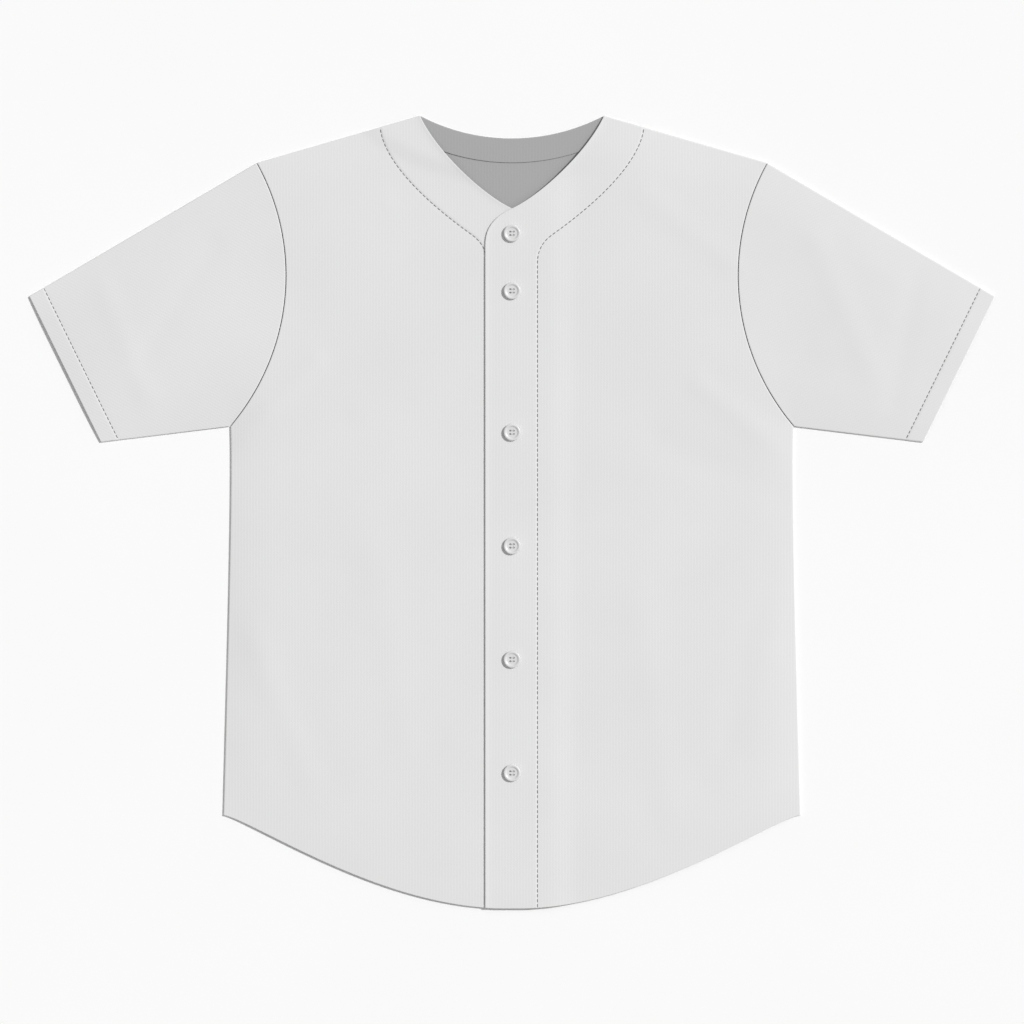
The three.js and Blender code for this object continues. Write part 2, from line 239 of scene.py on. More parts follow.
# Picture and light
PICTURE_WIDTH = 1024
CAMERA_LENS = 150
CAMERA_SENSOR = 36
CLOTH_LEVEL = 4.5  # the picture has a millimetre to a pixel at this height
ROOM_WALLS = 0.2
ROOM_CEILING = 0.42
CEILING_FROM = 0.5  # sine of the angle at which the walls end
KEY_FROM = (0.8, 0.42, 0.87)
KEY_LIGHT = 2.7
KEY_SOFTNESS_DEG = 7
FLOOR_HALF = 8
FLOOR_DROP = 0.1

TOP = BODY_LENGTH / 2
NECK_POINT = np.array((NECK_WIDTH / 2, TOP))
SHOULDER_POINT = np.array((SHOULDER_WIDTH / 2, TOP - SHOULDER_DROP))
UNDERARM = np.array((CHEST_WIDTH / 2, TOP - UNDERARM_DROP))
HEM_CORNER = np.array((HEM_WIDTH / 2, HEM_CORNER_RISE - TOP))
FRONT_NECK = np.array((0, TOP - FRONT_NECK_DROP))
LAP_CORNER = np.array((-LAP, TOP - LAP_CORNER_DROP))
MIRROR = np.array((-1, 1))


def heading(degrees):
    return np.array((math.cos(math.radians(degrees)), math.sin(math.radians(degrees))))


CUFF_TOP = SHOULDER_POINT + SLEEVE_LENGTH * heading(-SLEEVE_SLOPE_DEG)
CUFF_BOTTOM = CUFF_TOP + CUFF_WIDTH * heading(-90 - CUFF_TILT_DEG)
CUFF_INWARD = heading(180 - CUFF_TILT_DEG)


# Lines and grids, in millimetres


def straight(start, end):
    return np.linspace(start, end, LINE_POINTS)


def cubic(start, end, handles):
    """A line along a cubic curve, whose handles are given from its ends."""
    first, last = np.array(start, float), np.array(end, float)
    second, third = first + handles[0], last + handles[1]
    t = np.linspace(0, 1, LINE_POINTS)[:, None]
    u = 1 - t
    return u**3 * first + 3 * u**2 * t * second + 3 * u * t**2 * third + t**3 * last


def arc_centre(start, end, bow):
    """Centre and radius of the arc whose middle lies bow to the left of its chord."""
    chord = end - start
    half = np.linalg.norm(chord) / 2
    radius = (half**2 + bow**2) / (2 * abs(bow))
    left = np.array((-chord[1], chord[0])) / (2 * half)
    return (start + end) / 2 + left * (bow - math.copysign(radius, bow)), radius


def bowed_arc(start, end, bow):
    centre, radius = arc_centre(start, end, bow)
    first, last = (math.atan2(*(p - centre)[::-1]) for p in (start, end))
    last -= 2 * math.pi * round((last - first) / (2 * math.pi))
    angle = np.linspace(first, last, LINE_POINTS)
    return centre + radius * np.stack([np.cos(angle), np.sin(angle)], axis=1)


def line_length(line):
    return np.linalg.norm(np.diff(line, axis=0), axis=1).sum()


def walk(line, share):
    """Places at these shares of a line's length."""
    steps = np.linalg.norm(np.diff(line, axis=0), axis=1)
    along = np.concatenate([[0], np.cumsum(steps)]) / steps.sum()
    return np.stack([np.interp(share, along, line[:, k]) for k in (0, 1)], axis=-1)


def chain(share, *stretches):
    """Places along several lines in a row. Each stretch is a line and the share at which it ends."""
    places = np.zeros((len(share), 2))
    begins = 0
    for line, ends in stretches:
        inside = (share >= begins) & (share <= ends)
        places[inside] = walk(line, (share[inside] - begins) / (ends - begins))
        begins = ends
    return places


def graded(length, spacing):
    """Shares of a length, close together at its ends and about spacing apart between them."""
    end = np.array(FINE)
    steps = round((length - 2 * end[-1]) / spacing)
    middle = np.linspace(end[-1], length - end[-1], max(1, steps) + 1)
    return np.concatenate([end[:-1], middle, length - end[-2::-1]]) / length


def snapped(shares, *corners):
    """These shares, with the nearest one moved onto each corner's."""
    for corner in corners:
        shares[np.abs(shares - corner).argmin()] = corner
    return shares


def patch(inner, outer, bottom, top, across, up):
    """Places over a four-sided piece, worked out between its edges: rows go up, columns across."""
    u, v = across[None, :, None], up[:, None, None]
    low = (1 - u) * inner[0] + u * outer[0]
    high = (1 - u) * inner[-1] + u * outer[-1]
    over = (1 - u) * inner[:, None] + u * outer[:, None]
    return over + (1 - v) * (bottom[None] - low) + v * (top[None] - high)


def ruled(first, last, shares):
    """Rows of places that go from one line to another."""
    share = shares[:, None, None]
    return (1 - share) * first + share * last


def distance_to(line, places):
    starts, ways = line[:-1], np.diff(line, axis=0)
    gaps = places[..., None, :] - starts
    share = np.clip(np.sum(gaps * ways, -1) / np.sum(ways**2, -1), 0, 1)
    return np.linalg.norm(gaps - share[..., None] * ways, axis=-1).min(-1)


def smooth(value, start, end):
    t = np.clip((value - start) / (end - start), 0, 1)
    return t * t * (3 - 2 * t)


def on_left_half(places):
    """Places, with those of the wearer's right half mirrored onto the left one."""
    return np.concatenate([np.abs(places[..., :1]), places[..., 1:]], axis=-1)


def with_height(places, height):
    return np.concatenate([places, height[..., None]], axis=-1)


# Edges and seams of the wearer's left half

SIDE = cubic(UNDERARM, HEM_CORNER, SIDE_HANDLES)
HEM = cubic((0, -TOP), HEM_CORNER, HEM_HANDLES)
ARMHOLE = bowed_arc(UNDERARM, SHOULDER_POINT, ARMHOLE_BOW)
ARMHOLE_CENTRE, ARMHOLE_RADIUS = arc_centre(UNDERARM, SHOULDER_POINT, ARMHOLE_BOW)
NECKLINE = cubic(FRONT_NECK, NECK_POINT, NECKLINE_HANDLES)
LAP_ROUND = cubic(LAP_CORNER, FRONT_NECK, LAP_CORNER_HANDLES)
SHOULDER = straight(NECK_POINT, SHOULDER_POINT)
CUFF = straight(CUFF_TOP, CUFF_BOTTOM)
SLEEVE_TOP = straight(SHOULDER_POINT, CUFF_TOP)
SLEEVE_BOTTOM = straight(UNDERARM, CUFF_BOTTOM)


def hem_place(x):
    """Places on the hem at these x."""
    return np.stack([x, np.interp(np.abs(x), HEM[:, 0], HEM[:, 1])], axis=-1)


def on_shoulder(distance):
    return NECK_POINT + distance * (SHOULDER_POINT - NECK_POINT) / line_length(SHOULDER)


def above_cuff(body_end, cuff_end):
    """Where a sleeve's fold or seam, between these ends, meets the cuff's line of topstitch."""
    way = body_end - cuff_end
    return cuff_end + CUFF_STITCH / (way @ CUFF_INWARD) * way


LAP_EDGE = straight(hem_place(np.array([-LAP]))[0], LAP_CORNER)
FRONT_EDGE = np.concatenate([LAP_EDGE, LAP_ROUND[1:], NECKLINE[1:]])
STITCH_FOOT = np.array((STITCH_X, TOP - STITCH_CORNER_DROP))
STITCH_BEND = np.array((STITCH_CORNER_END[0], TOP - STITCH_CORNER_END[1]))
STITCH_STRAIGHT = straight(hem_place(np.array([STITCH_X]))[0], STITCH_FOOT)
STITCH_ROUND = cubic(STITCH_FOOT, STITCH_BEND, STITCH_CORNER_HANDLES)
STITCH_NECK = cubic(STITCH_BEND, on_shoulder(STITCH_AT_SHOULDER), STITCH_NECK_HANDLES)
FRONT_STITCH = np.concatenate([STITCH_STRAIGHT, STITCH_ROUND[1:], STITCH_NECK[1:]])
CUFF_STITCH_LINE = straight(above_cuff(SHOULDER_POINT, CUFF_TOP), above_cuff(UNDERARM, CUFF_BOTTOM))
BACK_FACING_END = on_shoulder(BACK_FACING_AT_SHOULDER)
BACK_FACING_BOW = BACK_FACING_END[1] - (TOP - BACK_NECK_DROP - BACK_FACING_DEPTH)
BACK_FACING_ARC = (BACK_FACING_END * MIRROR, BACK_FACING_END, -BACK_FACING_BOW)
BACK_FACING_EDGE = bowed_arc(*BACK_FACING_ARC)
BACK_FACING_CENTRE, BACK_FACING_RADIUS = arc_centre(*BACK_FACING_ARC)
BACK_NECK = bowed_arc(NECK_POINT * MIRROR, NECK_POINT, -BACK_NECK_DROP)


# Heights, in millimetres above the surface


def nearest(lines, places):
    """Distance to the nearest of these lines or of their mirror images."""
    return np.min([distance_to(line, on_left_half(places)) for line in lines], axis=0)


def rounded_rise(distance, run):
    return 1 - (1 - np.minimum(distance / run, 1)) ** 2


def rolled(distance, radius, depth):
    """How far cloth turns beside an edge: depth at the edge, and nothing a radius in from it."""
    left = np.clip(1 - distance / radius, 0, 1)
    return depth * (1 - np.sqrt(1 - left**2))


def deepest(*rolls):
    """Beside a corner, cloth turns as far as the edge that turns it most."""
    return np.max(rolls, axis=0)


def drape(places):
    """The soft swells and creases of the upper layer."""
    x, y = places[..., 0], places[..., 1]
    height = np.zeros(x.shape)
    for centre_x, centre_y, radius_x, radius_y, rise in SWELLS:
        height += rise * np.exp(-(((x - centre_x) / radius_x) ** 2) - ((y - centre_y) / radius_y) ** 2)
    for start_x, start_y, end_x, end_y, half_width, rise in CREASES:
        line = np.array(((start_x, start_y), (end_x, end_y)), float)
        height += rise * np.exp(-((distance_to(line, places) / half_width) ** 2))
    return height


def upper_layer(places):
    """Outer face of the upper layer before its edges are turned."""
    held = nearest((SHOULDER, SLEEVE_TOP, SLEEVE_BOTTOM, SIDE), places)
    share = rounded_rise(nearest((CUFF, HEM), places), OPEN_EDGE_RUN)
    loft = (LOFT + drape(places)) * rounded_rise(held, LOFT_RUN)
    loft *= OPEN_EDGE_SHARE + (1 - OPEN_EDGE_SHARE) * share
    past_facing = np.linalg.norm(places - BACK_FACING_CENTRE, axis=-1) - BACK_FACING_RADIUS
    lift = (CLOTH + SEAM_GAP) * (1 - smooth(past_facing, *FACING_RAMP))
    return 2 * CLOTH + SEAM_GAP + loft + lift


def from_armhole(places):
    """Distance from the armhole seam, on either half."""
    away = np.linalg.norm(on_left_half(places) - ARMHOLE_CENTRE, axis=-1)
    return np.abs(away - ARMHOLE_RADIUS)


def from_sleeve_end(places):
    """Distance from a sleeve's own edge at the armhole seam."""
    return np.maximum(from_armhole(places) - ARMHOLE_DITCH, 0)


def puckers(distance, along, reach):
    """Small gathers beside a seam, uneven along it."""
    turn = 2 * math.pi * along / PUCKER_PITCH
    drift, drift_rate = PUCKER_DRIFT
    fade, fade_rate = PUCKER_FADE
    gathers = np.sin(turn + drift * np.sin(drift_rate * turn))
    gathers *= 1 - fade + fade * np.sin(fade_rate * turn)
    return PUCKER * gathers * np.exp(-((distance / reach) ** 2))


def armhole_puckers(places):
    away = on_left_half(places) - ARMHOLE_CENTRE
    along = ARMHOLE_RADIUS * np.arctan2(away[..., 1], -away[..., 0])
    return puckers(from_armhole(places), along, SEAM_PUCKER_REACH)


def stitch_trough(distance):
    width, depth = STITCH_TROUGH
    return depth * np.exp(-((distance / width) ** 2))


def front_height(places, side, past_stitch=0):
    """Outer face of the front on this side. The share past_stitch marks places beyond the topstitch."""
    own = places * np.array((side, 1))
    height = upper_layer(places)
    if side > 0:
        height += (CLOTH + SEAM_GAP) * (1 - smooth(own[..., 0], *LAP_RAMP))
    from_stitch = distance_to(FRONT_STITCH, own)
    height -= stitch_trough(from_stitch)
    height -= FACING_STEP * past_stitch * smooth(from_stitch, 0, FACING_STEP_RUN)
    height += puckers(from_stitch, own[..., 1], STITCH_PUCKER_REACH)
    height += armhole_puckers(places)
    from_edge = distance_to(FRONT_EDGE, own)
    bead_width, bead_rise = EDGE_BEAD
    height += bead_rise * np.exp(-((from_edge / bead_width) ** 2))
    return height - deepest(
        rolled(nearest((SHOULDER, SIDE), places), FOLD_RADIUS, FOLD_RADIUS),
        rolled(from_armhole(places), *SEAM_ROLL),
        rolled(from_edge, *EDGE_ROLL),
        rolled(nearest((HEM,), places), *EDGE_ROLL),
    )


def back_height(places):
    """Outer face of the back, which lies on the surface and curls up at its edges."""
    return deepest(
        rolled(nearest((SHOULDER, SIDE), places), *BACK_SEAM_ROLL),
        rolled(distance_to(BACK_NECK, places), *NECK_ROLL),
        rolled(from_armhole(places), *UNDER_ROLL),
        rolled(nearest((HEM,), places), *UNDER_ROLL),
    )


def facing_height(places):
    """Visible face of the back-neck facing, turned down at the neckline and at its own lower edge."""
    press, reach = FACING_END_PRESS
    height = FACING_HEIGHT - press * (1 - smooth(nearest((SHOULDER,), places), 0, reach))
    return height - deepest(
        rolled(distance_to(BACK_NECK, places), *NECK_ROLL),
        rolled(distance_to(BACK_FACING_EDGE, places), *EDGE_ROLL),
    )


def from_cuff(places):
    return np.maximum((on_left_half(places) - CUFF_TOP) @ CUFF_INWARD, 0)


def sleeve_height(places):
    """Outer face of a sleeve's upper layer."""
    past_stitch = from_cuff(places) - CUFF_STITCH
    height = upper_layer(places)
    height -= stitch_trough(past_stitch)
    height -= FACING_STEP * smooth(past_stitch, 0, FACING_STEP_RUN)
    height += puckers(past_stitch, places[..., 1], STITCH_PUCKER_REACH)
    height += armhole_puckers(places)
    return height - deepest(
        rolled(nearest((SLEEVE_TOP, SLEEVE_BOTTOM), places), FOLD_RADIUS, FOLD_RADIUS),
        rolled(from_sleeve_end(places), *SEAM_ROLL),
        rolled(from_cuff(places), *EDGE_ROLL),
    )


def sleeve_underside(places):
    """Outer face of a sleeve's lower layer, which lies on the surface."""
    return deepest(
        rolled(nearest((SLEEVE_TOP, SLEEVE_BOTTOM), places), FOLD_RADIUS, FOLD_RADIUS),
        rolled(from_sleeve_end(places), *UNDER_ROLL),
        rolled(from_cuff(places), *UNDER_ROLL),
        stitch_trough(from_cuff(places) - CUFF_STITCH),
    )


# Making pieces


def finished(bm, name, materials):
    """A smooth piece from a bmesh that is in millimetres."""
    bmesh.ops.scale(bm, vec=(MM, MM, MM), verts=bm.verts)
    mesh = bpy.data.meshes.new(name)
    bm.to_mesh(mesh)
    bm.free()
    for material in materials:
        mesh.materials.append(material)
    mesh.polygons.foreach_set("use_smooth", [True] * len(mesh.polygons))
    piece = bpy.data.objects.new(name, mesh)
    bpy.context.scene.collection.objects.link(piece)
    return piece


def cloth_shell(form, name, materials):
    """A cloth piece whose outer face is this form of rows and columns of points.

    The first material is that of its outer face and edges, and the second that of its inside.
    """
    rows, columns, _ = form.shape
    bm = bmesh.new()
    bmesh.ops.create_grid(bm, x_segments=columns - 1, y_segments=rows - 1, size=1)
    for v in bm.verts:
        column = round((v.co.x + 1) / 2 * (columns - 1))
        row = round((v.co.y + 1) / 2 * (rows - 1))
        v.co = form[row, column]
    bmesh.ops.remove_doubles(bm, verts=bm.verts, dist=WELD)
    piece = finished(bm, name, materials)
    wall = piece.modifiers.new("wall", "SOLIDIFY")
    wall.thickness = SHELL * MM
    wall.offset = -1
    wall.use_even_offset = False
    wall.material_offset = 1
    wall.material_offset_rim = 0
    return piece


# Cloth pieces


def front_piece(name, side, materials):
    """A front, from its turned edge across the topstitch to the side seam and armhole."""
    up = snapped(graded(BODY_LENGTH, SPACING), UNDERARM_SHARE)
    edge = walk(FRONT_EDGE, up)
    stitch = walk(FRONT_STITCH, up)
    outer = chain(up, (SIDE[::-1], UNDERARM_SHARE), (ARMHOLE, 1))
    placket_width = LAP + STITCH_X
    placket_shares = graded(placket_width, SPACING)
    placket = patch(
        edge,
        stitch,
        hem_place(-LAP + placket_width * placket_shares),
        NECK_POINT + placket_shares[:, None] * (stitch[-1] - NECK_POINT),
        placket_shares,
        up,
    )
    panel_width = HEM_CORNER[0] - STITCH_X
    panel_shares = graded(panel_width, SPACING)
    panel = patch(
        stitch,
        outer,
        hem_place(STITCH_X + panel_width * panel_shares),
        stitch[-1] + panel_shares[:, None] * (SHOULDER_POINT - stitch[-1]),
        panel_shares,
        up,
    )
    places = np.concatenate([placket, panel[:, 1:]], axis=1) * np.array((side, 1))
    past_stitch = np.arange(places.shape[1])[None, :] >= len(placket_shares)
    form = with_height(places, front_height(places, side, past_stitch))
    return cloth_shell(form if side > 0 else form[:, ::-1], name, materials)


def back_piece(name, materials):
    up = snapped(graded(BODY_LENGTH, BACK_SPACING), UNDERARM_SHARE)
    across = snapped(graded(HEM_WIDTH, BACK_SPACING), NECK_SHARE, 1 - NECK_SHARE)
    left = chain(up, (SIDE[::-1], UNDERARM_SHARE), (ARMHOLE, 1))
    top = chain(
        across,
        (SHOULDER[::-1] * MIRROR, NECK_SHARE),
        (BACK_NECK, 1 - NECK_SHARE),
        (SHOULDER, 1),
    )
    bottom = hem_place((across - 0.5) * HEM_WIDTH)
    places = patch(left * MIRROR, left, bottom, top, across, up)
    form = with_height(places, back_height(places))
    return cloth_shell(form[:, ::-1], name, materials)


def facing_piece(name, materials):
    """The back-neck facing, which lies on the back's inner face."""
    across = graded(NECK_WIDTH, FACING_SPACING)
    up = graded(BACK_FACING_DEPTH, FACING_SPACING)
    trimmed = FACING_END_SHARE + (1 - 2 * FACING_END_SHARE) * across
    lower = walk(BACK_FACING_EDGE, trimmed)
    upper = walk(BACK_NECK, trimmed)
    right = lower[0] + up[:, None] * (upper[0] - lower[0])
    left = lower[-1] + up[:, None] * (upper[-1] - lower[-1])
    places = patch(right, left, lower, upper, across, up)
    return cloth_shell(with_height(places, facing_height(places)), name, materials)


def sleeve_piece(name, side, materials):
    """A sleeve in one piece, from the seam under the arm over the top fold and back, open at both ends."""
    across = graded(CUFF_WIDTH, SLEEVE_SPACING)
    armhole = walk(ARMHOLE[::-1], across)
    outward = (ARMHOLE_CENTRE - armhole) / ARMHOLE_RADIUS
    stitch = walk(CUFF_STITCH_LINE, across)
    sleeve_end = armhole + ARMHOLE_DITCH * outward
    upper_arm = ruled(sleeve_end, stitch, graded(SLEEVE_LENGTH - CUFF_STITCH, SPACING))
    cuff = ruled(stitch, walk(CUFF, across), graded(CUFF_STITCH, SPACING))
    places = np.concatenate([upper_arm, cuff[1:]]) * np.array((side, 1))
    upper = with_height(places, sleeve_height(places))
    lower = with_height(places, sleeve_underside(places))
    around = np.concatenate([upper[:, ::-1], lower[:, 1:]], axis=1)
    return cloth_shell(around if side < 0 else around[:, ::-1], name, materials)


# Topstitch


def stitch_matrix(start, end):
    """Places a stitch that is one unit long along X between two points."""
    way = end - start
    level = np.cross((0, 0, 1), way)
    turned = np.stack([way, level / np.linalg.norm(level), (0, 0, 1)], axis=1)
    matrix = Matrix(turned.tolist()).to_4x4()
    matrix.translation = Vector((start + end) / 2)
    return matrix


def add_stitch(bm, start, end):
    """One stitch: a rounded grain of thread, flattened by its tension."""
    grain = bmesh.ops.create_uvsphere(
        bm,
        u_segments=STITCH_SIDES,
        v_segments=STITCH_SIDES,
        radius=0.5,
    )["verts"]
    bmesh.ops.rotate(bm, verts=grain, matrix=Matrix.Rotation(math.pi / 2, 3, "Y"))
    for v in grain:
        from_middle = 2 * abs(v.co.x)
        v.co.x = math.copysign(from_middle**STITCH_FULLNESS / 2, v.co.x)
    bmesh.ops.scale(bm, vec=(1, STITCH_WIDTH, STITCH_HEIGHT), verts=grain)
    bmesh.ops.transform(bm, verts=grain, matrix=stitch_matrix(start, end))


def topstitch(name, line, side, height_of, material):
    """A row of stitches along a line on this side's cloth, each lying in the trough that it pulls."""
    length = line_length(line)
    begins = (np.arange(length // STITCH_PITCH) + 0.5) * STITCH_PITCH - STITCH_LENGTH / 2
    tips = []
    for reach in (0, STITCH_LENGTH):
        places = walk(line, (begins + reach) / length) * np.array((side, 1))
        tips.append(with_height(places, height_of(places)))
    bm = bmesh.new()
    for start, end in zip(*tips):
        add_stitch(bm, start, end)
    return finished(bm, name, (material,))


# Buttons


def hole_places():
    spread = (-BUTTON_HOLE_SPREAD, BUTTON_HOLE_SPREAD)
    return [(x, y) for x in spread for y in spread]


def button_blank():
    """The turned button before its holes are drilled, with its turned corners rounded."""
    bm = bmesh.new()
    corners = [bm.verts.new((radius, 0, height)) for radius, height in BUTTON_SECTION]
    for first, second in zip(corners, corners[1:]):
        bm.edges.new((first, second))
    bmesh.ops.spin(
        bm,
        geom=bm.verts[:] + bm.edges[:],
        cent=(0, 0, 0),
        axis=(0, 0, 1),
        angle=2 * math.pi,
        steps=BUTTON_STEPS,
        use_merge=True,
    )
    bmesh.ops.remove_doubles(bm, verts=bm.verts, dist=WELD)
    bmesh.ops.recalc_face_normals(bm, faces=bm.faces)
    turned = [
        e
        for e in bm.edges
        if abs(e.verts[0].co.z - e.verts[1].co.z) < WELD
        and abs(e.verts[0].co.xy.length - e.verts[1].co.xy.length) < WELD
    ]
    bmesh.ops.bevel(
        bm,
        geom=turned,
        offset=BUTTON_BEVEL,
        offset_type="OFFSET",
        segments=4,
        profile=0.5,
        affect="EDGES",
        clamp_overlap=True,
        material=-1,
    )
    return bm


def button_drill():
    """Four drills that stand where the sewing holes go."""
    bm = bmesh.new()
    for x, y in hole_places():
        bmesh.ops.create_cone(
            bm,
            cap_ends=True,
            segments=BUTTON_HOLE_SIDES,
            radius1=BUTTON_HOLE_RADIUS,
            radius2=BUTTON_HOLE_RADIUS,
            depth=BUTTON_DRILL_LENGTH,
            matrix=Matrix.Translation((x, y, 0)),
        )
    return bm


def drilled_button(material):
    """Mesh of a finished button at the origin."""
    blank = finished(button_blank(), "button_blank", (material,))
    drill = finished(button_drill(), "button_drill", (material,))
    holes = blank.modifiers.new("holes", "BOOLEAN")
    holes.object = drill
    holes.solver = "EXACT"
    drawn = blank.evaluated_get(bpy.context.evaluated_depsgraph_get())
    mesh = bpy.data.meshes.new_from_object(drawn)
    mesh.set_sharp_from_angle(angle=math.radians(BUTTON_SHARP_DEG))
    bpy.data.objects.remove(blank)
    bpy.data.objects.remove(drill)
    return mesh


def button_seat(node_name):
    """Middle of a button's underside, in metres."""
    low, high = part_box(node_name)
    return Vector(((low.x + high.x) / 2, (low.y + high.y) / 2, low.z))


def sewn_thread(seats, material):
    """Two bars of thread over each button, each of a few strands that arch from hole to hole."""
    bm = bmesh.new()
    half_turn = math.radians(THREAD_ARCH_DEG / 2)
    for seat in seats:
        for bar in (-BUTTON_HOLE_SPREAD, BUTTON_HOLE_SPREAD):
            for strand in THREAD_STRANDS:
                middle = seat / MM + Vector((0, bar + strand, THREAD_TOP - THREAD_ARCH_RADIUS))
                ring = bmesh.ops.create_circle(
                    bm,
                    segments=THREAD_SIDES,
                    radius=THREAD_RADIUS,
                    matrix=Matrix.Translation(middle + Vector((0, 0, THREAD_ARCH_RADIUS)))
                    @ Matrix.Rotation(math.pi / 2, 4, "Y"),
                )["verts"]
                bmesh.ops.rotate(bm, cent=middle, matrix=Matrix.Rotation(-half_turn, 3, "Y"), verts=ring)
                edges = list({e for v in ring for e in v.link_edges})
                bmesh.ops.spin(
                    bm,
                    geom=ring + edges,
                    cent=middle,
                    axis=(0, 1, 0),
                    angle=2 * half_turn,
                    steps=THREAD_STEPS,
                )
    bmesh.ops.holes_fill(bm, edges=bm.edges, sides=THREAD_SIDES)
    bmesh.ops.recalc_face_normals(bm, faces=bm.faces)
    return finished(bm, "button_thread", (material,))


# Materials


def linear(hex_colour):
    """An sRGB hex colour as linear red, green, blue and alpha."""
    shares = [int(hex_colour[i : i + 2], 16) / 255 for i in (1, 3, 5)]
    return [c / 12.92 if c <= 0.04045 else ((c + 0.055) / 1.055) ** 2.4 for c in shares] + [1]


def shaded(hex_colour, share):
    """The linear colour, made this share as light."""
    return [min(1, share * c) for c in linear(hex_colour)[:3]] + [1]


def node(tree, kind, inputs, **settings):
    """Adds a node with its settings, and sets or links its inputs by name or number."""
    made = tree.nodes.new(kind)
    for name, value in settings.items():
        setattr(made, name, value)
    for socket, value in inputs.items():
        if isinstance(value, bpy.types.NodeSocket):
            tree.links.new(value, made.inputs[socket])
        else:
            made.inputs[socket].default_value = value
    return made


def new_material(name, **sockets):
    """A material, its node tree, its shader and its Object coordinates.

    The shader's sockets are given by name, with _ for a space.
    """
    material = bpy.data.materials.new(name)
    material.use_nodes = True
    tree = material.node_tree
    shader = tree.nodes["Principled BSDF"]
    for socket, value in sockets.items():
        shader.inputs[socket.replace("_", " ")].default_value = value
    where = node(tree, "ShaderNodeTexCoord", {}).outputs["Object"]
    return material, tree, shader, where


def between(tree, value, low, high, start=0.0, end=1.0):
    """A value stretched from start and end to low and high."""
    spans = {"Value": value, "From Min": start, "From Max": end, "To Min": low, "To Max": high}
    return node(tree, "ShaderNodeMapRange", spans).outputs[0]


def pattern_scale(size):
    """How many times to the metre a pattern of this size in millimetres repeats."""
    return 1 / (size * MM)


def double_knit(name, hex_colour, turn_deg=0):
    """Polyester double knit, heat set: matt and even, with a faint sheen and wales of V-shaped stitches.

    The real wales are about 0.7 mm wide. They are drawn 3 mm wide, so that they show at a millimetre a pixel.
    """
    material, tree, shader, where = new_material(
        name,
        Specular_IOR_Level=0.25,
        Sheen_Weight=0.06,
        Sheen_Roughness=0.5,
    )
    drift = node(
        tree,
        "ShaderNodeTexNoise",
        {"Vector": where, "Scale": pattern_scale(WOBBLE_SIZE), "Detail": 1},
    ).outputs["Color"]
    centred = node(tree, "ShaderNodeVectorMath", {0: drift, 1: (0.5, 0.5, 0.5)}, operation="SUBTRACT")
    wobble = (KNIT_WOBBLE * MM, KNIT_WOBBLE * MM, 0)
    moved = node(
        tree,
        "ShaderNodeVectorMath",
        {0: centred.outputs[0], 1: wobble, 2: where},
        operation="MULTIPLY_ADD",
    )
    turned = node(
        tree,
        "ShaderNodeMapping",
        {
            "Vector": moved.outputs[0],
            "Rotation": (0, 0, math.radians(turn_deg)),
            "Scale": (pattern_scale(WALE), pattern_scale(COURSE), 1),
        },
    )
    split = node(tree, "ShaderNodeSeparateXYZ", {0: turned.outputs[0]})
    leg = node(tree, "ShaderNodeMath", {0: split.outputs["X"], 1: 0.5}, operation="PINGPONG")
    leaning = node(
        tree,
        "ShaderNodeMath",
        {0: leg.outputs[0], 1: -LEG_RISE, 2: split.outputs["Y"]},
        operation="MULTIPLY_ADD",
    )
    loop_turn = node(tree, "ShaderNodeMath", {0: leaning.outputs[0], 1: 2 * math.pi}, operation="MULTIPLY")
    loop = node(tree, "ShaderNodeMath", {0: loop_turn.outputs[0]}, operation="SINE")
    wale_turn = node(tree, "ShaderNodeMath", {0: split.outputs["X"], 1: 2 * math.pi}, operation="MULTIPLY")
    wale = node(tree, "ShaderNodeMath", {0: wale_turn.outputs[0]}, operation="COSINE")
    knit = node(
        tree,
        "ShaderNodeMath",
        {0: loop.outputs[0], 1: LEG_SHARE, 2: wale.outputs[0]},
        operation="MULTIPLY_ADD",
    ).outputs[0]
    fuzz = node(
        tree,
        "ShaderNodeTexNoise",
        {"Vector": where, "Scale": pattern_scale(FUZZ_SIZE), "Detail": 3},
    ).outputs["Fac"]
    mottle = node(
        tree,
        "ShaderNodeTexNoise",
        {"Vector": where, "Scale": pattern_scale(MOTTLE_SIZE), "Detail": 4},
    ).outputs["Fac"]
    # The knit's relief is also painted into its colour, darker in the grooves and lighter on the loops:
    # painted shade and light
    knit_shade_tone = between(tree, knit, *KNIT_SHADE_TONES, -1 - LEG_SHARE, 1 + LEG_SHARE)
    mottle_tone = between(tree, mottle, *MOTTLE_TONES, *MOTTLE_SPAN)
    level = node(tree, "ShaderNodeMath", {0: mottle_tone, 1: knit_shade_tone}, operation="MULTIPLY")
    colour = node(
        tree,
        "ShaderNodeMix",
        {0: 1, 6: linear(hex_colour), 7: level.outputs[0]},
        data_type="RGBA",
        blend_type="MULTIPLY",
    )
    knit_bump = node(tree, "ShaderNodeBump", {"Height": knit, "Distance": KNIT_RELIEF * MM})
    fuzz_bump = node(
        tree,
        "ShaderNodeBump",
        {"Height": fuzz, "Distance": FUZZ_RELIEF * MM, "Normal": knit_bump.outputs[0]},
    )
    tree.links.new(colour.outputs[2], shader.inputs["Base Color"])
    tree.links.new(between(tree, fuzz, *FUZZ_ROUGHNESS), shader.inputs["Roughness"])
    tree.links.new(fuzz_bump.outputs[0], shader.inputs["Normal"])
    return material


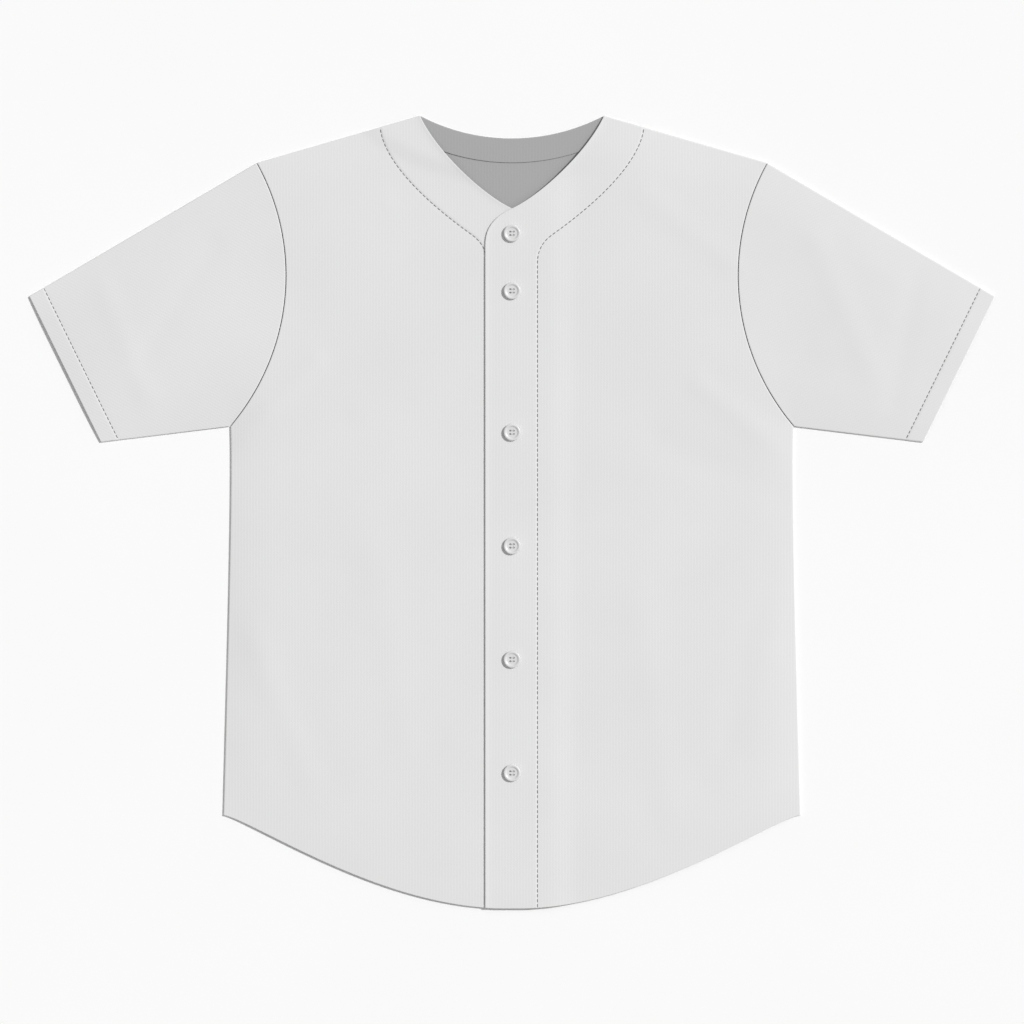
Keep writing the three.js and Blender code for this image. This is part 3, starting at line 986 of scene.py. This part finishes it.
def spun_thread(name, hex_colour):
    """Spun polyester sewing thread: matt and a little hairy, painted lighter on its raised plies and darker
    in their hollows as painted light and shade.
    """
    material, tree, shader, where = new_material(name, Roughness=0.8)
    plies = node(
        tree,
        "ShaderNodeTexNoise",
        {"Vector": where, "Scale": pattern_scale(PLY_SIZE), "Detail": 2},
    ).outputs["Fac"]
    # Raised plies are painted lighter and sunk ones darker: painted light and shade
    dark, light = (shaded(hex_colour, tone) for tone in PLY_SHADE_TONES)
    colour = node(tree, "ShaderNodeMix", {0: plies, 6: dark, 7: light}, data_type="RGBA")
    bump = node(tree, "ShaderNodeBump", {"Height": plies, "Distance": PLY_RELIEF * MM})
    tree.links.new(colour.outputs[2], shader.inputs["Base Color"])
    tree.links.new(bump.outputs[0], shader.inputs["Normal"])
    return material


def cast_polyester(name, hex_colour):
    """Cast polyester button stock, tumbled to a satin: faintly cloudy inside, with soft highlights."""
    material, tree, shader, where = new_material(name, IOR=1.54)
    cloud = node(
        tree,
        "ShaderNodeTexNoise",
        {"Vector": where, "Scale": pattern_scale(CLOUD_SIZE), "Detail": 2, "Distortion": 1.5},
    ).outputs["Fac"]
    scuffs = node(
        tree,
        "ShaderNodeTexNoise",
        {"Vector": where, "Scale": pattern_scale(SCUFF_SIZE), "Detail": 2},
    ).outputs["Fac"]
    colour = node(
        tree,
        "ShaderNodeMix",
        {0: cloud, 6: shaded(hex_colour, CLOUD_TONE), 7: linear(hex_colour)},
        data_type="RGBA",
    )
    bump = node(tree, "ShaderNodeBump", {"Height": scuffs, "Distance": SCUFF_RELIEF * MM})
    tree.links.new(colour.outputs[2], shader.inputs["Base Color"])
    tree.links.new(between(tree, scuffs, *SATIN_ROUGHNESS), shader.inputs["Roughness"])
    tree.links.new(bump.outputs[0], shader.inputs["Normal"])
    return material


def pale_board(name):
    """Matt white studio board, very slightly uneven in tone."""
    material, tree, shader, where = new_material(name, Roughness=0.9, Specular_IOR_Level=0.1)
    patches = node(
        tree,
        "ShaderNodeTexNoise",
        {"Vector": where, "Scale": pattern_scale(BOARD_PATCH), "Detail": 2},
    ).outputs["Fac"]
    dull, bright = (linear(hex_colour) for hex_colour in BOARD_COLOURS)
    colour = node(tree, "ShaderNodeMix", {0: patches, 6: dull, 7: bright}, data_type="RGBA")
    tree.links.new(colour.outputs[2], shader.inputs["Base Color"])
    return material


# Camera, light and floor


def camera_above():
    data = bpy.data.cameras.new("camera")
    data.lens = CAMERA_LENS
    data.sensor_width = CAMERA_SENSOR
    camera = bpy.data.objects.new("camera", data)
    distance = PICTURE_WIDTH * CAMERA_LENS / CAMERA_SENSOR
    camera.location = (0, 0, (distance + CLOTH_LEVEL) * MM)
    bpy.context.scene.collection.objects.link(camera)
    bpy.context.scene.camera = camera


def key_lamp():
    """A soft lamp so far off that it lights the whole jersey evenly, from the upper right."""
    data = bpy.data.lights.new("key", "SUN")
    data.energy = KEY_LIGHT
    data.angle = math.radians(KEY_SOFTNESS_DEG)
    lamp = bpy.data.objects.new("key", data)
    lamp.rotation_euler = Vector(KEY_FROM).to_track_quat("Z", "Y").to_euler()
    bpy.context.scene.collection.objects.link(lamp)


def room():
    """A pale ceiling and dimmer walls, which leave turned edges a little darker than the cloth."""
    world = bpy.data.worlds.new("studio")
    bpy.context.scene.world = world
    world.use_nodes = True
    tree = world.node_tree
    way = node(tree, "ShaderNodeTexCoord", {}).outputs["Generated"]
    height = node(tree, "ShaderNodeSeparateXYZ", {0: way}).outputs["Z"]
    strength = between(tree, height, ROOM_WALLS, ROOM_CEILING, 0, CEILING_FROM)
    background = tree.nodes["Background"]
    background.inputs["Color"].default_value = (1, 1, 1, 1)
    tree.links.new(strength, background.inputs["Strength"])
    bpy.context.scene.view_settings.view_transform = "Standard"


def board():
    bm = bmesh.new()
    bmesh.ops.create_grid(
        bm,
        x_segments=8,
        y_segments=8,
        size=FLOOR_HALF / MM,
        matrix=Matrix.Translation((0, 0, -FLOOR_DROP)),
    )
    return finished(bm, "floor", (pale_board("pale_board"),))


# The jersey


def dress(piece, slot, *nodes):
    """Puts a finished piece on the body, in the place of its solids."""
    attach(piece, "root")
    if nodes:
        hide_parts(*nodes)


def make_back_and_facing(outside, inside):
    back = back_piece("back_cloth", (outside, inside))
    dress(back, "knit_cloth_inside", "back")
    # The facing is all in the darker inside colour, which is painted shade
    facing = facing_piece("back_neck_facing_cloth", (inside, inside))
    dress(facing, "knit_cloth_inside", "back_neck_facing")


def make_front(word, side, outside, inside, thread):
    front = front_piece(f"front_{word}_cloth", side, (outside, inside))
    dress(front, "knit_cloth", f"front_{word}")

    def on_cloth(places):
        return front_height(places, side) - STITCH_SUNK

    dress(topstitch(f"front_{word}_topstitch", FRONT_STITCH, side, on_cloth, thread), "sewing_thread")


def make_sleeve(word, side, outside, inside, thread):
    sleeve = sleeve_piece(f"sleeve_{word}_cloth", side, (outside, inside))
    dress(sleeve, "knit_cloth", f"sleeve_{word}")

    def on_upper(places):
        return sleeve_height(places) - STITCH_SUNK

    def on_lower(places):
        return sleeve_underside(places) + STITCH_SUNK

    for layer, height_of in (("upper", on_upper), ("lower", on_lower)):
        name = f"cuff_{word}_{layer}_topstitch"
        dress(topstitch(name, CUFF_STITCH_LINE, side, height_of, thread), "sewing_thread")


def make_buttons(resin, thread):
    names = sorted(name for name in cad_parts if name.startswith("button_"))
    finished_mesh = drilled_button(resin)
    for name in names:
        mesh = finished_mesh.copy()
        mesh.transform(Matrix.Translation(button_seat(name)))
        piece = bpy.data.objects.new(f"{name}_turned", mesh)
        bpy.context.scene.collection.objects.link(piece)
        dress(piece, "button_plastic", name)
    dress(sewn_thread([button_seat(name) for name in names], thread), "sewing_thread")


def make_jersey():
    face = double_knit("double_knit_face", OUTSIDE_COLOUR)
    # The reverse is the same knit in a darker colour: painted shade for the jersey's inside
    painted_shade_reverse = double_knit("double_knit_painted_shade_reverse", INSIDE_PAINTED_SHADE_COLOUR)
    topstitch_thread = spun_thread("topstitch_thread", THREAD_COLOUR)
    make_back_and_facing(face, painted_shade_reverse)
    for side, word in ((-1, "right"), (1, "left")):
        turned_face = double_knit(f"double_knit_{word}_sleeve", OUTSIDE_COLOUR, side * SLEEVE_TURN_DEG)
        make_front(word, side, face, painted_shade_reverse, topstitch_thread)
        make_sleeve(word, side, turned_face, painted_shade_reverse, topstitch_thread)
    resin = cast_polyester("cast_polyester_button", BUTTON_COLOUR)
    make_buttons(resin, spun_thread("button_thread", BUTTON_THREAD_COLOUR))


camera_above()
room()
key_lamp()
board()
make_jersey()
